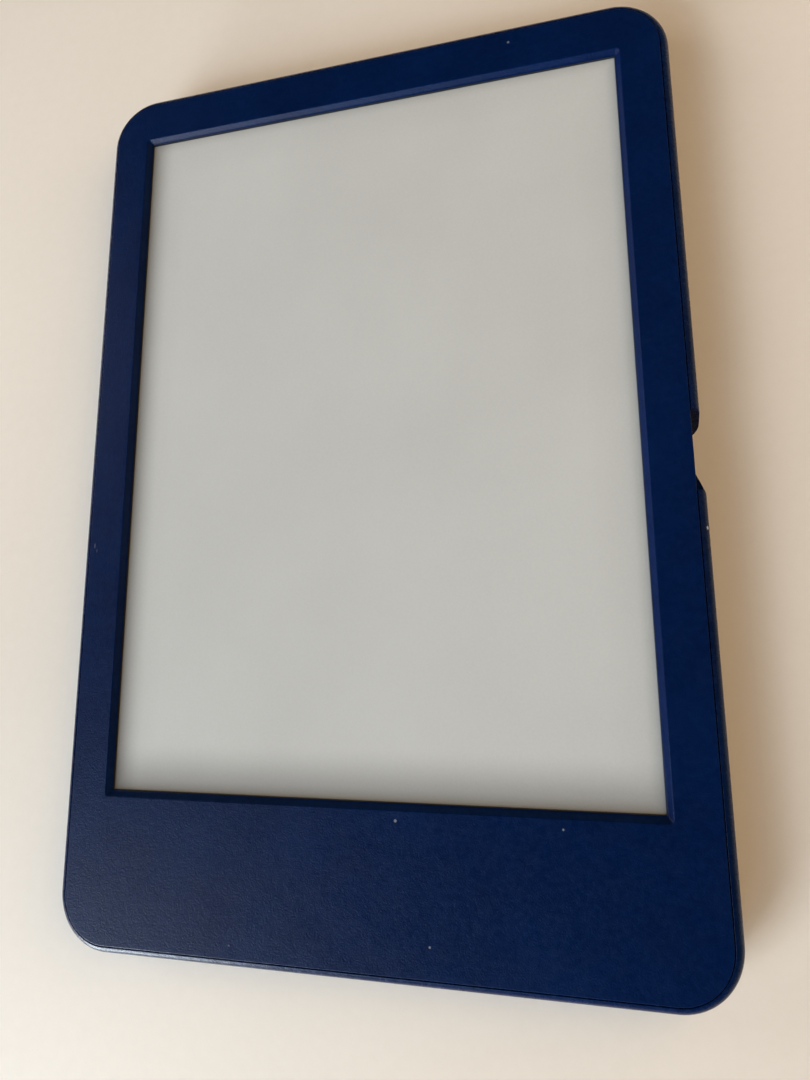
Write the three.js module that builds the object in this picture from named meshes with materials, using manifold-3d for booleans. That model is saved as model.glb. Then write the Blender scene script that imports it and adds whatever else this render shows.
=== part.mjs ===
// Pocket e-reader with a 6-inch electronic-paper screen, lying on its back.
// Millimetres. The origin is the centre of the flat back face. +X points to the
// reader's right, +Y to the top edge of the screen and +Z out of the screen.
import * as THREE from 'three';
import { mergeVertices } from 'three/addons/utils/BufferGeometryUtils.js';
import Module from 'manifold-3d';

const wasm = await Module();
wasm.setup();

// ---- Driving dimensions ------------------------------------------------------

// Body
const bodyWidth = 108.6;
const bodyLength = 157.8;
const bodyDepth = 8.0;
const cornerRadius = 9.3;

// Rear cover: a flat back, a curved underside, a short upright side, a round rim
const wall = 1.3;
const floorTop = 1.2;
const undersideRun = 4.6;
const undersideRise = 4.0;
const rimCentreHeight = 6.25;
const rimRadius = 1.7;
const rimLand = 0.12;

// Front bezel: a plate let into the rim, with a window that tapers down to the screen
const bezelInset = 1.45;
const bezelUnderside = 6.95;
const bezelEdgeBreak = 0.12;
const skirtOuterInset = 1.6;
const skirtInnerInset = 2.4;
const skirtFoot = 5.4;
const windowWidthTop = 92.5;
const windowLengthTop = 124.3;
const windowWidthFoot = 90.6;
const windowLengthFoot = 122.3;
const windowCentreY = 7.7;
const windowCornerRadius = 0.4;

// Snap hooks of the bezel in pockets of the cover's side walls
const hookLength = 6;
const hookReach = 0.6;
const hookBottom = 5.5;
const hookTop = 6.1;
const hookRowsOnSides = [-52, -26, 30, 58];
const hookRowsOnEnds = [-38, 34];

// Scooped notch across the right side of the cover. Its upper end is one sloped plane
// and its lower end runs out slowly, with a step where the rim is lower.
const notchFloorX = 52.7;
const notchFront = { top: 5.57, bottomFloor: -4.3, bottomMouth: -8.0 };
const notchBack = { top: 1.57, bottomFloor: -3.2, bottomMouth: -5.6 };
const notchStepHeight = 6.6;
const notchStepEnd = -7.4;
const notchBlockTop = 7.6;
const notchBlockBottom = -9.4;
const notchBlockInnerX = 51.6;

// Display stack, from the back to the front
const displayWidth = 98.0;
const displayTopY = 72.6;
const displayBottomY = -62.0;
const frameBottom = 4.6;
const frameTop = 5.15;
const backplaneTop = 5.65;
const frontPlaneTop = 5.95;
const guideTop = 6.4;
const touchTop = 6.6;
const filmTop = 6.83;
const railTop = 6.85;

// Main board
const boardHalfWidth = 46;
const boardBottomY = -75.2;
const boardTopY = -45;
const boardBottom = 3.3;
const boardTop = 4.1;

// Sockets and controls in the bottom edge
const socketX = 0;
const socketHeight = 3.73;
const socketWidth = 8.94;
const socketThickness = 3.26;
const socketWall = 0.3;
const socketMouthY = -78.6;
const socketEndY = -71.2;
const ledX = 10.4;
const buttonX = 19;
const buttonHeight = 3.7;
const buttonWidth = 9.0;
const buttonThickness = 2.0;
const buttonFaceY = -78.85;
const buttonGap = 0.15;
const buttonTravel = 0.3;

// Battery
const batteryWidth = 46;
const batteryBottomY = -36;
const batteryTopY = 36;
const batteryBottom = 1.35;
const batteryTop = 4.25;

// Fasteners
const screwShaftRadius = 0.55;
const screwBoreRadius = 0.65;
const screwHeadRadius = 1.2;
const screwHeadHeight = 0.4;
const boardScrews = [[-42, -49], [42, -49], [-42, -72.4], [42, -72.4]];
const frameScrews = [[-44, 74.3], [0, 74.3], [44, 74.3], [-49.3, -70], [-8, -69.6], [49.3, -70]];

const cornerSteps = 8;
const profileSteps = 5;
const roundSides = 12;
const cutMargin = 1;

const halfWidth = bodyWidth / 2;
const halfLength = bodyLength / 2;

// ---- Materials ---------------------------------------------------------------

function finish(color, roughness, metalness = 0) {
  return new THREE.MeshStandardMaterial({ color, roughness, metalness });
}

const navyPlastic = finish(0x14244f, 0.55);
const blackPlastic = finish(0x18191c, 0.6);
const blackFoam = finish(0x101114, 0.95);
const paperWhite = finish(0xb9bbb2, 0.8);
const clearSheet = finish(0xdfe6ea, 0.1);
const backplaneGlass = finish(0x6f7a78, 0.15);
const castFrame = finish(0x9a9da0, 0.45, 0.8);
const boardGreen = finish(0x1d5a3a, 0.5);
const flexAmber = finish(0xb8742a, 0.5);
const flexBlack = finish(0x1b1b1d, 0.55);
const chipBlack = finish(0x222326, 0.55);
const shieldSteel = finish(0xb9bcbf, 0.3, 1);
const connectorCream = finish(0xe4dcc6, 0.6);
const screwSteel = finish(0x8f9296, 0.35, 1);
const batteryFoil = finish(0xaeb2b6, 0.35, 0.6);
const tapeWhite = finish(0xeeeeea, 0.9);
const ledWhite = finish(0xf4f1dc, 0.3);
const switchBlack = finish(0x26272a, 0.5);
const goldPlate = finish(0xd2a548, 0.3, 1);

// ---- Shape helpers -----------------------------------------------------------

// Corner arcs of a rounded rectangle, counter-clockwise, starting at the +X +Y corner
function roundedRectangle(width, length, radius, centreX = 0, centreY = 0, steps = cornerSteps) {
  const points = [];
  const reachX = width / 2 - radius;
  const reachY = length / 2 - radius;
  const corners = [[reachX, reachY], [-reachX, reachY], [-reachX, -reachY], [reachX, -reachY]];
  corners.forEach(([x, y], quarter) => {
    for (let step = 0; step <= steps; step += 1) {
      const angle = (quarter + step / steps) * Math.PI / 2;
      points.push(new THREE.Vector2(
        centreX + x + radius * Math.cos(angle),
        centreY + y + radius * Math.sin(angle),
      ));
    }
  });
  return points;
}

// Outline of the body, moved inwards by an inset
function bodyOutline(inset) {
  const radius = Math.max(cornerRadius - inset, 0.8);
  return roundedRectangle(bodyWidth - 2 * inset, bodyLength - 2 * inset, radius);
}

// Closed solid through a stack of convex outlines with equally many points
function loft(rings) {
  const count = rings[0].outline.length;
  const positions = [];
  const indices = [];
  rings.forEach(({ outline, z }) => {
    outline.forEach((point) => positions.push(point.x, point.y, z));
  });
  for (let ring = 0; ring < rings.length - 1; ring += 1) {
    for (let i = 0; i < count; i += 1) {
      const a = ring * count + i;
      const b = ring * count + (i + 1) % count;
      indices.push(a, b, b + count, a, b + count, a + count);
    }
  }
  const last = (rings.length - 1) * count;
  for (let i = 1; i < count - 1; i += 1) {
    indices.push(0, i + 1, i);
    indices.push(last, last + i, last + i + 1);
  }
  const geometry = new THREE.BufferGeometry();
  geometry.setAttribute('position', new THREE.Float32BufferAttribute(positions, 3));
  geometry.setIndex(indices);
  return geometry;
}

// Straight extrusion of an outline from one height to another
function slab(outline, bottom, top) {
  const shape = new THREE.Shape(outline);
  const geometry = new THREE.ExtrudeGeometry(shape, { depth: top - bottom, bevelEnabled: false });
  return geometry.translate(0, 0, bottom);
}

function boxBetween([x0, x1], [y0, y1], [z0, z1]) {
  const geometry = new THREE.BoxGeometry(x1 - x0, y1 - y0, z1 - z0);
  return geometry.translate((x0 + x1) / 2, (y0 + y1) / 2, (z0 + z1) / 2);
}

// Upright cylinder
function post(x, y, radius, bottom, top, sides = roundSides) {
  const geometry = new THREE.CylinderGeometry(radius, radius, top - bottom, sides);
  return geometry.rotateX(Math.PI / 2).translate(x, y, (bottom + top) / 2);
}

// Prism along Y whose section in XZ is a rectangle with round ends
function pillAlongY(width, thickness, x, z, fromY, toY, steps = cornerSteps) {
  const section = roundedRectangle(width, thickness, thickness / 2 - 0.001, 0, 0, steps);
  const geometry = slab(section, 0, toY - fromY);
  return geometry.rotateX(Math.PI / 2).translate(x, toY, z);
}

function rodAlongY(radius, x, z, fromY, toY, sides = 12) {
  const geometry = new THREE.CylinderGeometry(radius, radius, toY - fromY, sides);
  return geometry.translate(x, (fromY + toY) / 2, z);
}

// Ribbon of even thickness along X whose edge view in YZ follows a list of [y, z]
function foldedRibbon(x0, x1, route, thickness) {
  const half = thickness / 2;
  const left = [];
  const right = [];
  const stops = route.map(([y, z]) => new THREE.Vector2(y, z));
  const sideways = stops.slice(1).map((stop, i) => {
    const along = stop.clone().sub(stops[i]).normalize();
    return new THREE.Vector2(-along.y, along.x);
  });
  stops.forEach((stop, i) => {
    const before = sideways[Math.max(i - 1, 0)];
    const after = sideways[Math.min(i, sideways.length - 1)];
    const mitre = before.clone().add(after).multiplyScalar(half / (1 + before.dot(after)));
    left.push(stop.clone().add(mitre));
    right.push(stop.clone().sub(mitre));
  });
  const edge = slab([...left, ...right.reverse()], 0, x1 - x0);
  const turn = new THREE.Matrix4().makeBasis(
    new THREE.Vector3(0, 1, 0),
    new THREE.Vector3(0, 0, 1),
    new THREE.Vector3(1, 0, 0),
  );
  return edge.applyMatrix4(turn).translate(x0, 0, 0);
}

// ---- Joining and cutting -----------------------------------------------------

function toSolid(geometry) {
  const bare = geometry.clone();
  bare.deleteAttribute('normal');
  bare.deleteAttribute('uv');
  const merged = mergeVertices(bare);
  return new wasm.Manifold(new wasm.Mesh({
    numProp: 3,
    vertProperties: new Float32Array(merged.attributes.position.array),
    triVerts: new Uint32Array(merged.index.array),
  }));
}

function toGeometry(solid) {
  const { vertProperties, triVerts } = solid.getMesh();
  const geometry = new THREE.BufferGeometry();
  geometry.setAttribute('position', new THREE.BufferAttribute(vertProperties, 3));
  geometry.setIndex(new THREE.BufferAttribute(triVerts, 1));
  return geometry;
}

// One body from several shapes joined together and several others cut away
function carve(added, removed) {
  const joined = added.map(toSolid).reduce((whole, piece) => whole.add(piece));
  return toGeometry(removed.map(toSolid).reduce((whole, piece) => whole.subtract(piece), joined));
}

const reader = new THREE.Group();

function place(name, geometry, material) {
  const mesh = new THREE.Mesh(geometry, material);
  mesh.name = name;
  reader.add(mesh);
}

function placeBlock(name, spanX, spanY, spanZ, material) {
  place(name, boxBetween(spanX, spanY, spanZ), material);
}

// A block given by its centre in the plane of the board and its size
function placeChip(name, x, y, width, length, spanZ, material) {
  placeBlock(name, [x - width / 2, x + width / 2], [y - length / 2, y + length / 2], spanZ, material);
}

// ---- Rear cover --------------------------------------------------------------

function outerRings() {
  const rings = [];
  for (let step = 0; step <= profileSteps; step += 1) {
    const angle = step / profileSteps * Math.PI / 2;
    rings.push({
      outline: bodyOutline(undersideRun * (1 - Math.sin(angle))),
      z: undersideRise * (1 - Math.cos(angle)),
    });
  }
  const rimEnd = Math.acos(1 - (wall - rimLand) / rimRadius);
  for (let step = 0; step <= profileSteps; step += 1) {
    const angle = step / profileSteps * rimEnd;
    rings.push({
      outline: bodyOutline(rimRadius * (1 - Math.cos(angle))),
      z: rimCentreHeight + rimRadius * Math.sin(angle),
    });
  }
  return rings;
}

function cavityRings() {
  return [
    { outline: bodyOutline(4.9), z: floorTop },
    { outline: bodyOutline(2.55), z: 2.2 },
    { outline: bodyOutline(wall), z: undersideRise },
    { outline: bodyOutline(wall), z: bodyDepth + cutMargin },
  ];
}

// The outline of the notch at one height, seen from the front
function notchOutline({ top, bottomFloor, bottomMouth }) {
  const mouthX = halfWidth + cutMargin;
  const slope = (bottomMouth - bottomFloor) / (halfWidth - notchFloorX);
  return [
    new THREE.Vector2(notchFloorX, top),
    new THREE.Vector2(notchFloorX, bottomFloor),
    new THREE.Vector2(mouthX, bottomMouth + slope * cutMargin),
    new THREE.Vector2(mouthX, top),
  ];
}

function screwBosses() {
  const forFrame = frameScrews.map(([x, y]) => post(x, y, 1.6, floorTop - 0.4, frameBottom));
  const forBoard = boardScrews.map(([x, y]) => post(x, y, 1.7, floorTop - 0.4, boardBottom));
  return [...forFrame, ...forBoard];
}

function screwBores() {
  const blindEnd = 1.7;
  return [...frameScrews, ...boardScrews].map(
    ([x, y]) => post(x, y, screwBoreRadius, blindEnd, bodyDepth),
  );
}

// Low ribs that stiffen the floor above the battery and hold the battery's sides
function floorRibs() {
  const ribRoot = floorTop - 0.4;
  const ribTop = 2.4;
  const across = [42, 54, 66].map((y) => boxBetween([-46, 46], [y, y + 0.8], [ribRoot, ribTop]));
  const along = [-30, 0, 30].map((x) => boxBetween([x - 0.4, x + 0.4], [41.6, 67.2], [ribRoot, ribTop]));
  const batterySides = [-1, 1].map((side) => {
    const x = side * (batteryWidth / 2 + 1);
    return boxBetween([x - 0.4, x + 0.4], [-34, 34], [ribRoot, ribTop]);
  });
  return [...across, ...along, ...batterySides];
}

// Pockets in the side walls that the bezel's snap hooks drop into
function hookPockets() {
  const clearance = 0.3;
  const half = hookLength / 2 + clearance;
  const depth = skirtOuterInset - hookReach - 0.25;
  const height = [hookBottom - 0.2, hookTop + 0.2];
  const pockets = [];
  hookRowsOnSides.forEach((y) => {
    pockets.push(boxBetween([halfWidth - wall - 1, halfWidth - depth], [y - half, y + half], height));
    pockets.push(boxBetween([depth - halfWidth, wall + 1 - halfWidth], [y - half, y + half], height));
  });
  hookRowsOnEnds.forEach((x) => {
    pockets.push(boxBetween([x - half, x + half], [halfLength - wall - 1, halfLength - depth], height));
    pockets.push(boxBetween([x - half, x + half], [depth - halfLength, wall + 1 - halfLength], height));
  });
  return pockets;
}

// Upright-walled recesses behind the holes in the bottom edge
function bottomEdgeRecesses() {
  const spanY = [-halfLength + wall, -halfLength + wall + 3];
  return [[-5.5, 5.5], [8.4, 25.2]].map((spanX) => boxBetween(spanX, spanY, [1.9, undersideRise + 0.5]));
}

function makeRearCover() {
  const outside = -halfLength - cutMargin;
  const inside = -halfLength + wall + cutMargin;
  const shell = carve(
    [loft(outerRings())],
    [loft(cavityRings()), ...hookPockets(), ...bottomEdgeRecesses()],
  );
  const notchBlock = boxBetween(
    [notchBlockInnerX, halfWidth - 0.6],
    [notchBlockBottom, notchBlockTop],
    [2.4, bezelUnderside - 0.05],
  );
  const furnished = carve([shell, notchBlock, ...screwBosses(), ...floorRibs()], []);
  const notch = loft([
    { outline: notchOutline(notchBack), z: 0 },
    { outline: notchOutline(notchFront), z: bodyDepth },
  ]);
  const step = boxBetween(
    [notchFloorX, halfWidth + cutMargin],
    [notchStepEnd, 0],
    [notchStepHeight, bodyDepth + cutMargin],
  );
  place('rear_cover', carve([furnished], [
    notch,
    step,
    ...screwBores(),
    pillAlongY(socketWidth + 0.5, socketThickness + 0.5, socketX, socketHeight, outside, inside, 5),
    pillAlongY(
      buttonWidth + 2 * buttonGap, buttonThickness + 2 * buttonGap, buttonX, buttonHeight,
      outside, inside, 5,
    ),
    rodAlongY(0.65, ledX, buttonHeight, outside, inside),
  ]), navyPlastic);
}

// ---- Front bezel -------------------------------------------------------------

function ringWall(outerInset, innerInset, bottom, top) {
  return carve(
    [slab(bodyOutline(outerInset), bottom, top)],
    [slab(bodyOutline(innerInset), bottom - cutMargin, top + cutMargin)],
  );
}

function snapHooks() {
  const half = hookLength / 2;
  const outer = skirtOuterInset - hookReach;
  const inner = skirtInnerInset - 0.2;
  const height = [hookBottom, hookTop];
  const hooks = [];
  hookRowsOnSides.forEach((y) => {
    hooks.push(boxBetween([halfWidth - inner, halfWidth - outer], [y - half, y + half], height));
    hooks.push(boxBetween([outer - halfWidth, inner - halfWidth], [y - half, y + half], height));
  });
  hookRowsOnEnds.forEach((x) => {
    hooks.push(boxBetween([x - half, x + half], [halfLength - inner, halfLength - outer], height));
    hooks.push(boxBetween([x - half, x + half], [outer - halfLength, inner - halfLength], height));
  });
  return hooks;
}

function makeFrontBezel() {
  const plate = loft([
    { outline: bodyOutline(bezelInset), z: bezelUnderside },
    { outline: bodyOutline(bezelInset), z: bodyDepth - bezelEdgeBreak },
    { outline: bodyOutline(bezelInset + bezelEdgeBreak), z: bodyDepth },
  ]);
  const taper = (windowWidthTop - windowWidthFoot) / (bodyDepth - bezelUnderside);
  const taperLong = (windowLengthTop - windowLengthFoot) / (bodyDepth - bezelUnderside);
  const windowRing = (z) => ({
    outline: roundedRectangle(
      windowWidthFoot + taper * (z - bezelUnderside),
      windowLengthFoot + taperLong * (z - bezelUnderside),
      windowCornerRadius, 0, windowCentreY, 3,
    ),
    z,
  });
  const gapClearance = 0.5;
  const skirt = carve([ringWall(skirtOuterInset, skirtInnerInset, skirtFoot, bezelUnderside + 0.3)], [
    boxBetween(
      [notchBlockInnerX - gapClearance, halfWidth],
      [notchBlockBottom - gapClearance, notchBlockTop + gapClearance],
      [skirtFoot - cutMargin, bezelUnderside],
    ),
  ]);
  place('front_bezel', carve([plate, skirt, ...snapHooks()], [
    loft([windowRing(bezelUnderside - 0.5), windowRing(bodyDepth + 0.5)]),
  ]), navyPlastic);
}

// ---- Mid frame ---------------------------------------------------------------

function makeMidFrame() {
  const frameOutline = roundedRectangle(102.8, 152, 6, 0, 0, 4);
  const plate = slab(frameOutline, frameBottom, frameTop);
  const railStart = frameTop - 0.2;
  const rails = carve([slab(frameOutline, railStart, railTop)], [
    boxBetween([-49.4, 49.4], [-74.2, 73.1], [railStart - cutMargin, railTop + cutMargin]),
    boxBetween([-50.8, 50.8], [-72.5, -67.5], [railStart - cutMargin, railTop + cutMargin]),
  ]);
  const below = frameBottom - cutMargin;
  const socketCut = boxBetween([-5.2, 5.2], [-77, -70.6], [below, 5.6]);
  const controlCut = boxBetween([8.9, 24.5], [-77, -72.2], [below, 5.6]);
  const flexSlots = [[-45, -39], [-2, 26], [39, 45]].map(
    (span) => boxBetween(span, [-65.4, -63.4], [below, frameTop + cutMargin]),
  );
  const headPockets = frameScrews.map(
    ([x, y]) => post(x, y, screwHeadRadius + 0.15, frameTop, railTop + cutMargin),
  );
  const holes = frameScrews.map(([x, y]) => post(x, y, screwBoreRadius, below, railTop));
  place('mid_frame', carve([plate, rails], [
    socketCut, controlCut, ...flexSlots, ...headPockets, ...holes,
  ]), castFrame);
}

// ---- Display stack -----------------------------------------------------------

function flatRing(outer, inner, bottom, top) {
  return carve([slab(outer, bottom, top)], [slab(inner, bottom - cutMargin, top + cutMargin)]);
}

function makeDisplay() {
  const half = displayWidth / 2;
  const backplaneSpanY = [displayBottomY, displayTopY];
  placeBlock('eink_backplane', [-half, half], backplaneSpanY, [frameTop, backplaneTop], backplaneGlass);
  placeBlock('eink_front_plane', [-47, 47], [-55.6, 71.2], [backplaneTop, frontPlaneTop], paperWhite);
  placeBlock('light_guide', [-48.3, 48.3], [-57.0, 71.0], [frontPlaneTop, guideTop], clearSheet);
  placeBlock('touch_sensor', [-48.8, 48.8], [-57.0, 71.0], [guideTop, touchTop], clearSheet);
  placeBlock('front_film', [-half, half], [-58.0, 71.6], [touchTop, filmTop], paperWhite);
  placeBlock('panel_driver_chip', [-20, 20], [-60.0, -58.4], [backplaneTop, frontPlaneTop], chipBlack);

  const gasketOuter = roundedRectangle(97, 129, 1.5, 0, windowCentreY - 0.6, 2);
  const gasketInner = roundedRectangle(91.0, 122.7, 0.6, 0, windowCentreY, 2);
  const gasket = flatRing(gasketOuter, gasketInner, filmTop, bezelUnderside);
  place('display_gasket', gasket, blackFoam);

  const adhesiveOuter = roundedRectangle(102.4, 151.6, 5.8, 0, 0, 4);
  const adhesiveInner = roundedRectangle(99.6, 149.0, 4.4, 0, 0, 4);
  const adhesive = flatRing(adhesiveOuter, adhesiveInner, railTop, bezelUnderside);
  place('bezel_adhesive', adhesive, tapeWhite);
}

function makeFrontLight() {
  [-33, -11, 11, 33].forEach((x, i) => {
    placeChip(`front_light_led_${i + 1}`, x, -57.5, 3.8, 1.0, [frontPlaneTop, guideTop], ledWhite);
  });
}

// ---- Ribbons from the display down to the board ------------------------------

const ribbonThickness = 0.12;
const slotY = -64.4;
const ribbonEndY = -66.5;
const ribbonEndZ = 4.3;

function makeRibbons() {
  const panelStartZ = backplaneTop + ribbonThickness / 2;
  place('panel_flex', foldedRibbon(-1, 25, [
    [-60.6, panelStartZ], [slotY, panelStartZ], [slotY, ribbonEndZ], [ribbonEndY, ribbonEndZ],
  ], ribbonThickness), flexAmber);
  place('touch_flex', foldedRibbon(39.5, 44.5, [
    [-57.0, 6.48], [slotY, 6.48], [slotY, ribbonEndZ], [ribbonEndY, ribbonEndZ],
  ], ribbonThickness), flexAmber);
  const stripZ = guideTop + ribbonThickness / 2;
  const strip = boxBetween([-44.5, 37], [-60.9, -57.1], [guideTop, guideTop + ribbonThickness]);
  const tail = foldedRibbon(-44.5, -39.5, [
    [-60, stripZ], [slotY, stripZ], [slotY, ribbonEndZ], [ribbonEndY, ribbonEndZ],
  ], ribbonThickness);
  place('light_strip_flex', carve([strip, tail], []), flexBlack);
}

// ---- Main board and what it carries ------------------------------------------

function makeBoard() {
  const below = boardBottom - cutMargin;
  const above = boardTop + cutMargin;
  const sheet = boxBetween(
    [-boardHalfWidth, boardHalfWidth], [boardBottomY, boardTopY], [boardBottom, boardTop],
  );
  const outside = boardBottomY - cutMargin;
  place('main_board', carve([sheet], [
    boxBetween([-4.7, 4.7], [outside, socketEndY + 0.2], [below, above]),
    boxBetween([buttonX - 2.8, buttonX + 2.8], [outside, -72.4], [below, above]),
    post(-8, -69.6, 2.0, below, above),
    ...boardScrews.map(([x, y]) => post(x, y, 0.8, below, above)),
  ]), boardGreen);

  const chipTop = boardBottom;
  placeChip('processor_chip', -27, -57, 12, 12, [chipTop - 1.0, chipTop], chipBlack);
  placeChip('memory_chip', -15, -57, 8, 11, [chipTop - 0.9, chipTop], chipBlack);
  placeChip('storage_chip', 0.5, -59, 11.5, 13, [chipTop - 1.0, chipTop], chipBlack);
  placeChip('power_chip', 15.5, -56, 7, 7, [chipTop - 0.8, chipTop], chipBlack);
  [-52, -60].forEach((y, i) => {
    placeChip(`power_inductor_${i + 1}`, 24, y, 3.2, 3.2, [chipTop - 1.2, chipTop], chipBlack);
  });
  placeChip('wifi_module', 36.5, -60, 9, 9, [chipTop - 1.3, chipTop], shieldSteel);
  placeChip('hall_sensor', 33, -47.5, 2.6, 1.6, [boardTop, boardTop + 0.4], chipBlack);
  placeShield('processor_shield', [-35, -9.5], [-66.5, -47.5]);
  placeShield('power_shield', [10, 28], [-65, -47]);
}

// Pressed steel can, open towards the board
function placeShield(name, spanX, spanY) {
  const sheetThickness = 0.15;
  const top = boardBottom;
  const base = top - 1.6;
  const shrink = ([low, high]) => [low + sheetThickness, high - sheetThickness];
  place(name, carve([boxBetween(spanX, spanY, [base, top])], [
    boxBetween(shrink(spanX), shrink(spanY), [base + sheetThickness, top + cutMargin]),
  ]), shieldSteel);
}

function makeRibbonConnectors() {
  const connectors = {
    light_connector: [-45.5, -38.5],
    panel_connector: [-2.5, 26.5],
    touch_connector: [38.5, 45.5],
  };
  Object.entries(connectors).forEach(([name, span]) => {
    placeBlock(name, span, [-69.6, ribbonEndY], [boardTop, boardTop + 0.45], connectorCream);
  });
}

function makeAntenna() {
  placeBlock('antenna_flex', [44.2, 49.0], [-64, -44], [floorTop, floorTop + 0.15], flexBlack);
  const springBottom = floorTop + 0.15;
  place('antenna_spring', carve([boxBetween([44.3, 45.9], [-58, -55], [springBottom, boardBottom])], [
    boxBetween([44.55, 47], [-59, -54], [springBottom + 0.2, boardBottom - 0.2]),
  ]), goldPlate);
}

// ---- Battery -----------------------------------------------------------------

function makeBattery() {
  const cell = slab(
    roundedRectangle(batteryWidth, batteryTopY - batteryBottomY, 1.6, 0, 0, 3), batteryBottom, batteryTop,
  );
  place('battery_cell', cell, batteryFoil);
  [-14, 14].forEach((x, i) => {
    placeChip(`battery_tape_${i + 1}`, x, 0, 12, 60, [floorTop, batteryBottom], tapeWhite);
  });
  const circuitY = [-39.4, batteryBottomY];
  placeBlock('battery_protection_board', [-12, 14], circuitY, [2.0, 3.1], boardGreen);

  const headerSpanZ = [1.8, boardBottom];
  place('battery_connector', carve([boxBetween([-3.3, 4.3], [-50.0, -46.4], headerSpanZ)], [
    boxBetween([-2.6, 3.6], [-49.4, -45], [2.1, 3.1]),
  ]), connectorCream);
  placeBlock('battery_plug', [-2.4, 3.4], [-49.2, -45.4], [2.3, 2.9], connectorCream);

  const leads = { black: -1.3, white: 0.5, red: 2.3 };
  const leadColours = { black: 0x141414, white: 0xe8e8e8, red: 0xb01818 };
  Object.entries(leads).forEach(([colour, x]) => {
    const route = new THREE.CatmullRomCurve3([
      new THREE.Vector3(x, circuitY[0], 2.6),
      new THREE.Vector3(x, -41, 2.6),
      new THREE.Vector3(x + 0.5, -42.5, 2.75),
      new THREE.Vector3(x, -44, 2.6),
      new THREE.Vector3(x, -45.4, 2.6),
    ]);
    const section = new THREE.Shape();
    section.absarc(0, 0, 0.45, 0, 2 * Math.PI);
    const lead = new THREE.ExtrudeGeometry(section, { steps: 6, curveSegments: 4, extrudePath: route });
    place(`battery_lead_${colour}`, lead, finish(leadColours[colour], 0.5));
  });
}

// ---- Charging socket ---------------------------------------------------------

function makeSocket() {
  const outer = pillAlongY(
    socketWidth, socketThickness, socketX, socketHeight, socketMouthY, socketEndY,
  );
  const inner = pillAlongY(
    socketWidth - 2 * socketWall, socketThickness - 2 * socketWall, socketX, socketHeight,
    socketMouthY - cutMargin, socketEndY - 0.6,
  );
  place('usb_c_shell', carve([outer], [inner]), shieldSteel);
  placeBlock(
    'usb_c_tongue', [socketX - 3.3, socketX + 3.3], [socketMouthY + 0.9, socketEndY - 0.6],
    [socketHeight - 0.35, socketHeight + 0.35], blackPlastic,
  );
}

// ---- Power button, its switch and the status light ---------------------------

function makePowerButton() {
  const wallInside = -halfLength + wall;
  const flangeFront = wallInside + 0.1;
  const flangeBack = flangeFront + 0.6;
  const noseBack = flangeBack + 0.8;
  place('power_button', carve([
    pillAlongY(buttonWidth, buttonThickness, buttonX, buttonHeight, buttonFaceY, flangeFront + 0.2, 5),
    boxBetween([buttonX - 5.2, buttonX + 5.2], [flangeFront, flangeBack], [2.5, 4.9]),
    boxBetween([buttonX - 1.2, buttonX + 1.2], [flangeBack - 0.2, noseBack], [3.2, 4.2]),
  ], []), navyPlastic);

  const plungerFront = noseBack;
  const plungerBack = plungerFront + 1.3;
  const switchFront = plungerFront + buttonTravel + 0.2;
  const switchBack = -72.6;
  const slack = 0.1;
  place('tact_switch_body', carve([
    boxBetween([buttonX - 2.4, buttonX + 2.4], [switchFront, switchBack], [3.0, 4.5]),
  ], [
    boxBetween(
      [buttonX - 0.9 - slack, buttonX + 0.9 + slack],
      [switchFront - cutMargin, plungerBack + buttonTravel + slack],
      [3.35 - slack, 4.05 + slack],
    ),
  ]), switchBlack);
  placeBlock(
    'tact_switch_plunger', [buttonX - 0.9, buttonX + 0.9], [plungerFront, plungerBack], [3.35, 4.05],
    connectorCream,
  );
}

function makeStatusLight() {
  const wallInside = -halfLength + wall;
  place('light_pipe', carve([
    rodAlongY(0.55, ledX, buttonHeight, buttonFaceY, wallInside + 0.3),
    boxBetween([ledX - 1.2, ledX + 1.2], [wallInside + 0.1, boardBottomY - 0.1], [2.6, 4.4]),
  ], []), clearSheet);
  placeChip('status_led', ledX, boardBottomY + 0.5, 1.6, 0.9, [boardBottom - 0.6, boardBottom], ledWhite);
}

// ---- Screws ------------------------------------------------------------------

function makeScrews(prefix, places, seat) {
  const shaftLength = 2.3;
  places.forEach(([x, y], i) => {
    const profile = [
      new THREE.Vector2(0, -shaftLength),
      new THREE.Vector2(screwShaftRadius, -shaftLength),
      new THREE.Vector2(screwShaftRadius, 0),
      new THREE.Vector2(screwHeadRadius, 0),
      new THREE.Vector2(screwHeadRadius, screwHeadHeight),
      new THREE.Vector2(0, screwHeadHeight),
    ];
    const screw = new THREE.LatheGeometry(profile, roundSides);
    place(`${prefix}_${i + 1}`, screw.rotateX(Math.PI / 2).translate(x, y, seat), screwSteel);
  });
}

makeRearCover();
makeFrontBezel();
makeMidFrame();
makeDisplay();
makeFrontLight();
makeRibbons();
makeBoard();
makeRibbonConnectors();
makeAntenna();
makeBattery();
makeSocket();
makePowerButton();
makeStatusLight();
makeScrews('board_screw', boardScrews, boardTop);
makeScrews('frame_screw', frameScrews, frameTop);

export default reader;
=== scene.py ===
"""Looks of a pocket e-reader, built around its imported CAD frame.

Shape code works in millimetres and is scaled to metres when a mesh is made.
"""

import math

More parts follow.
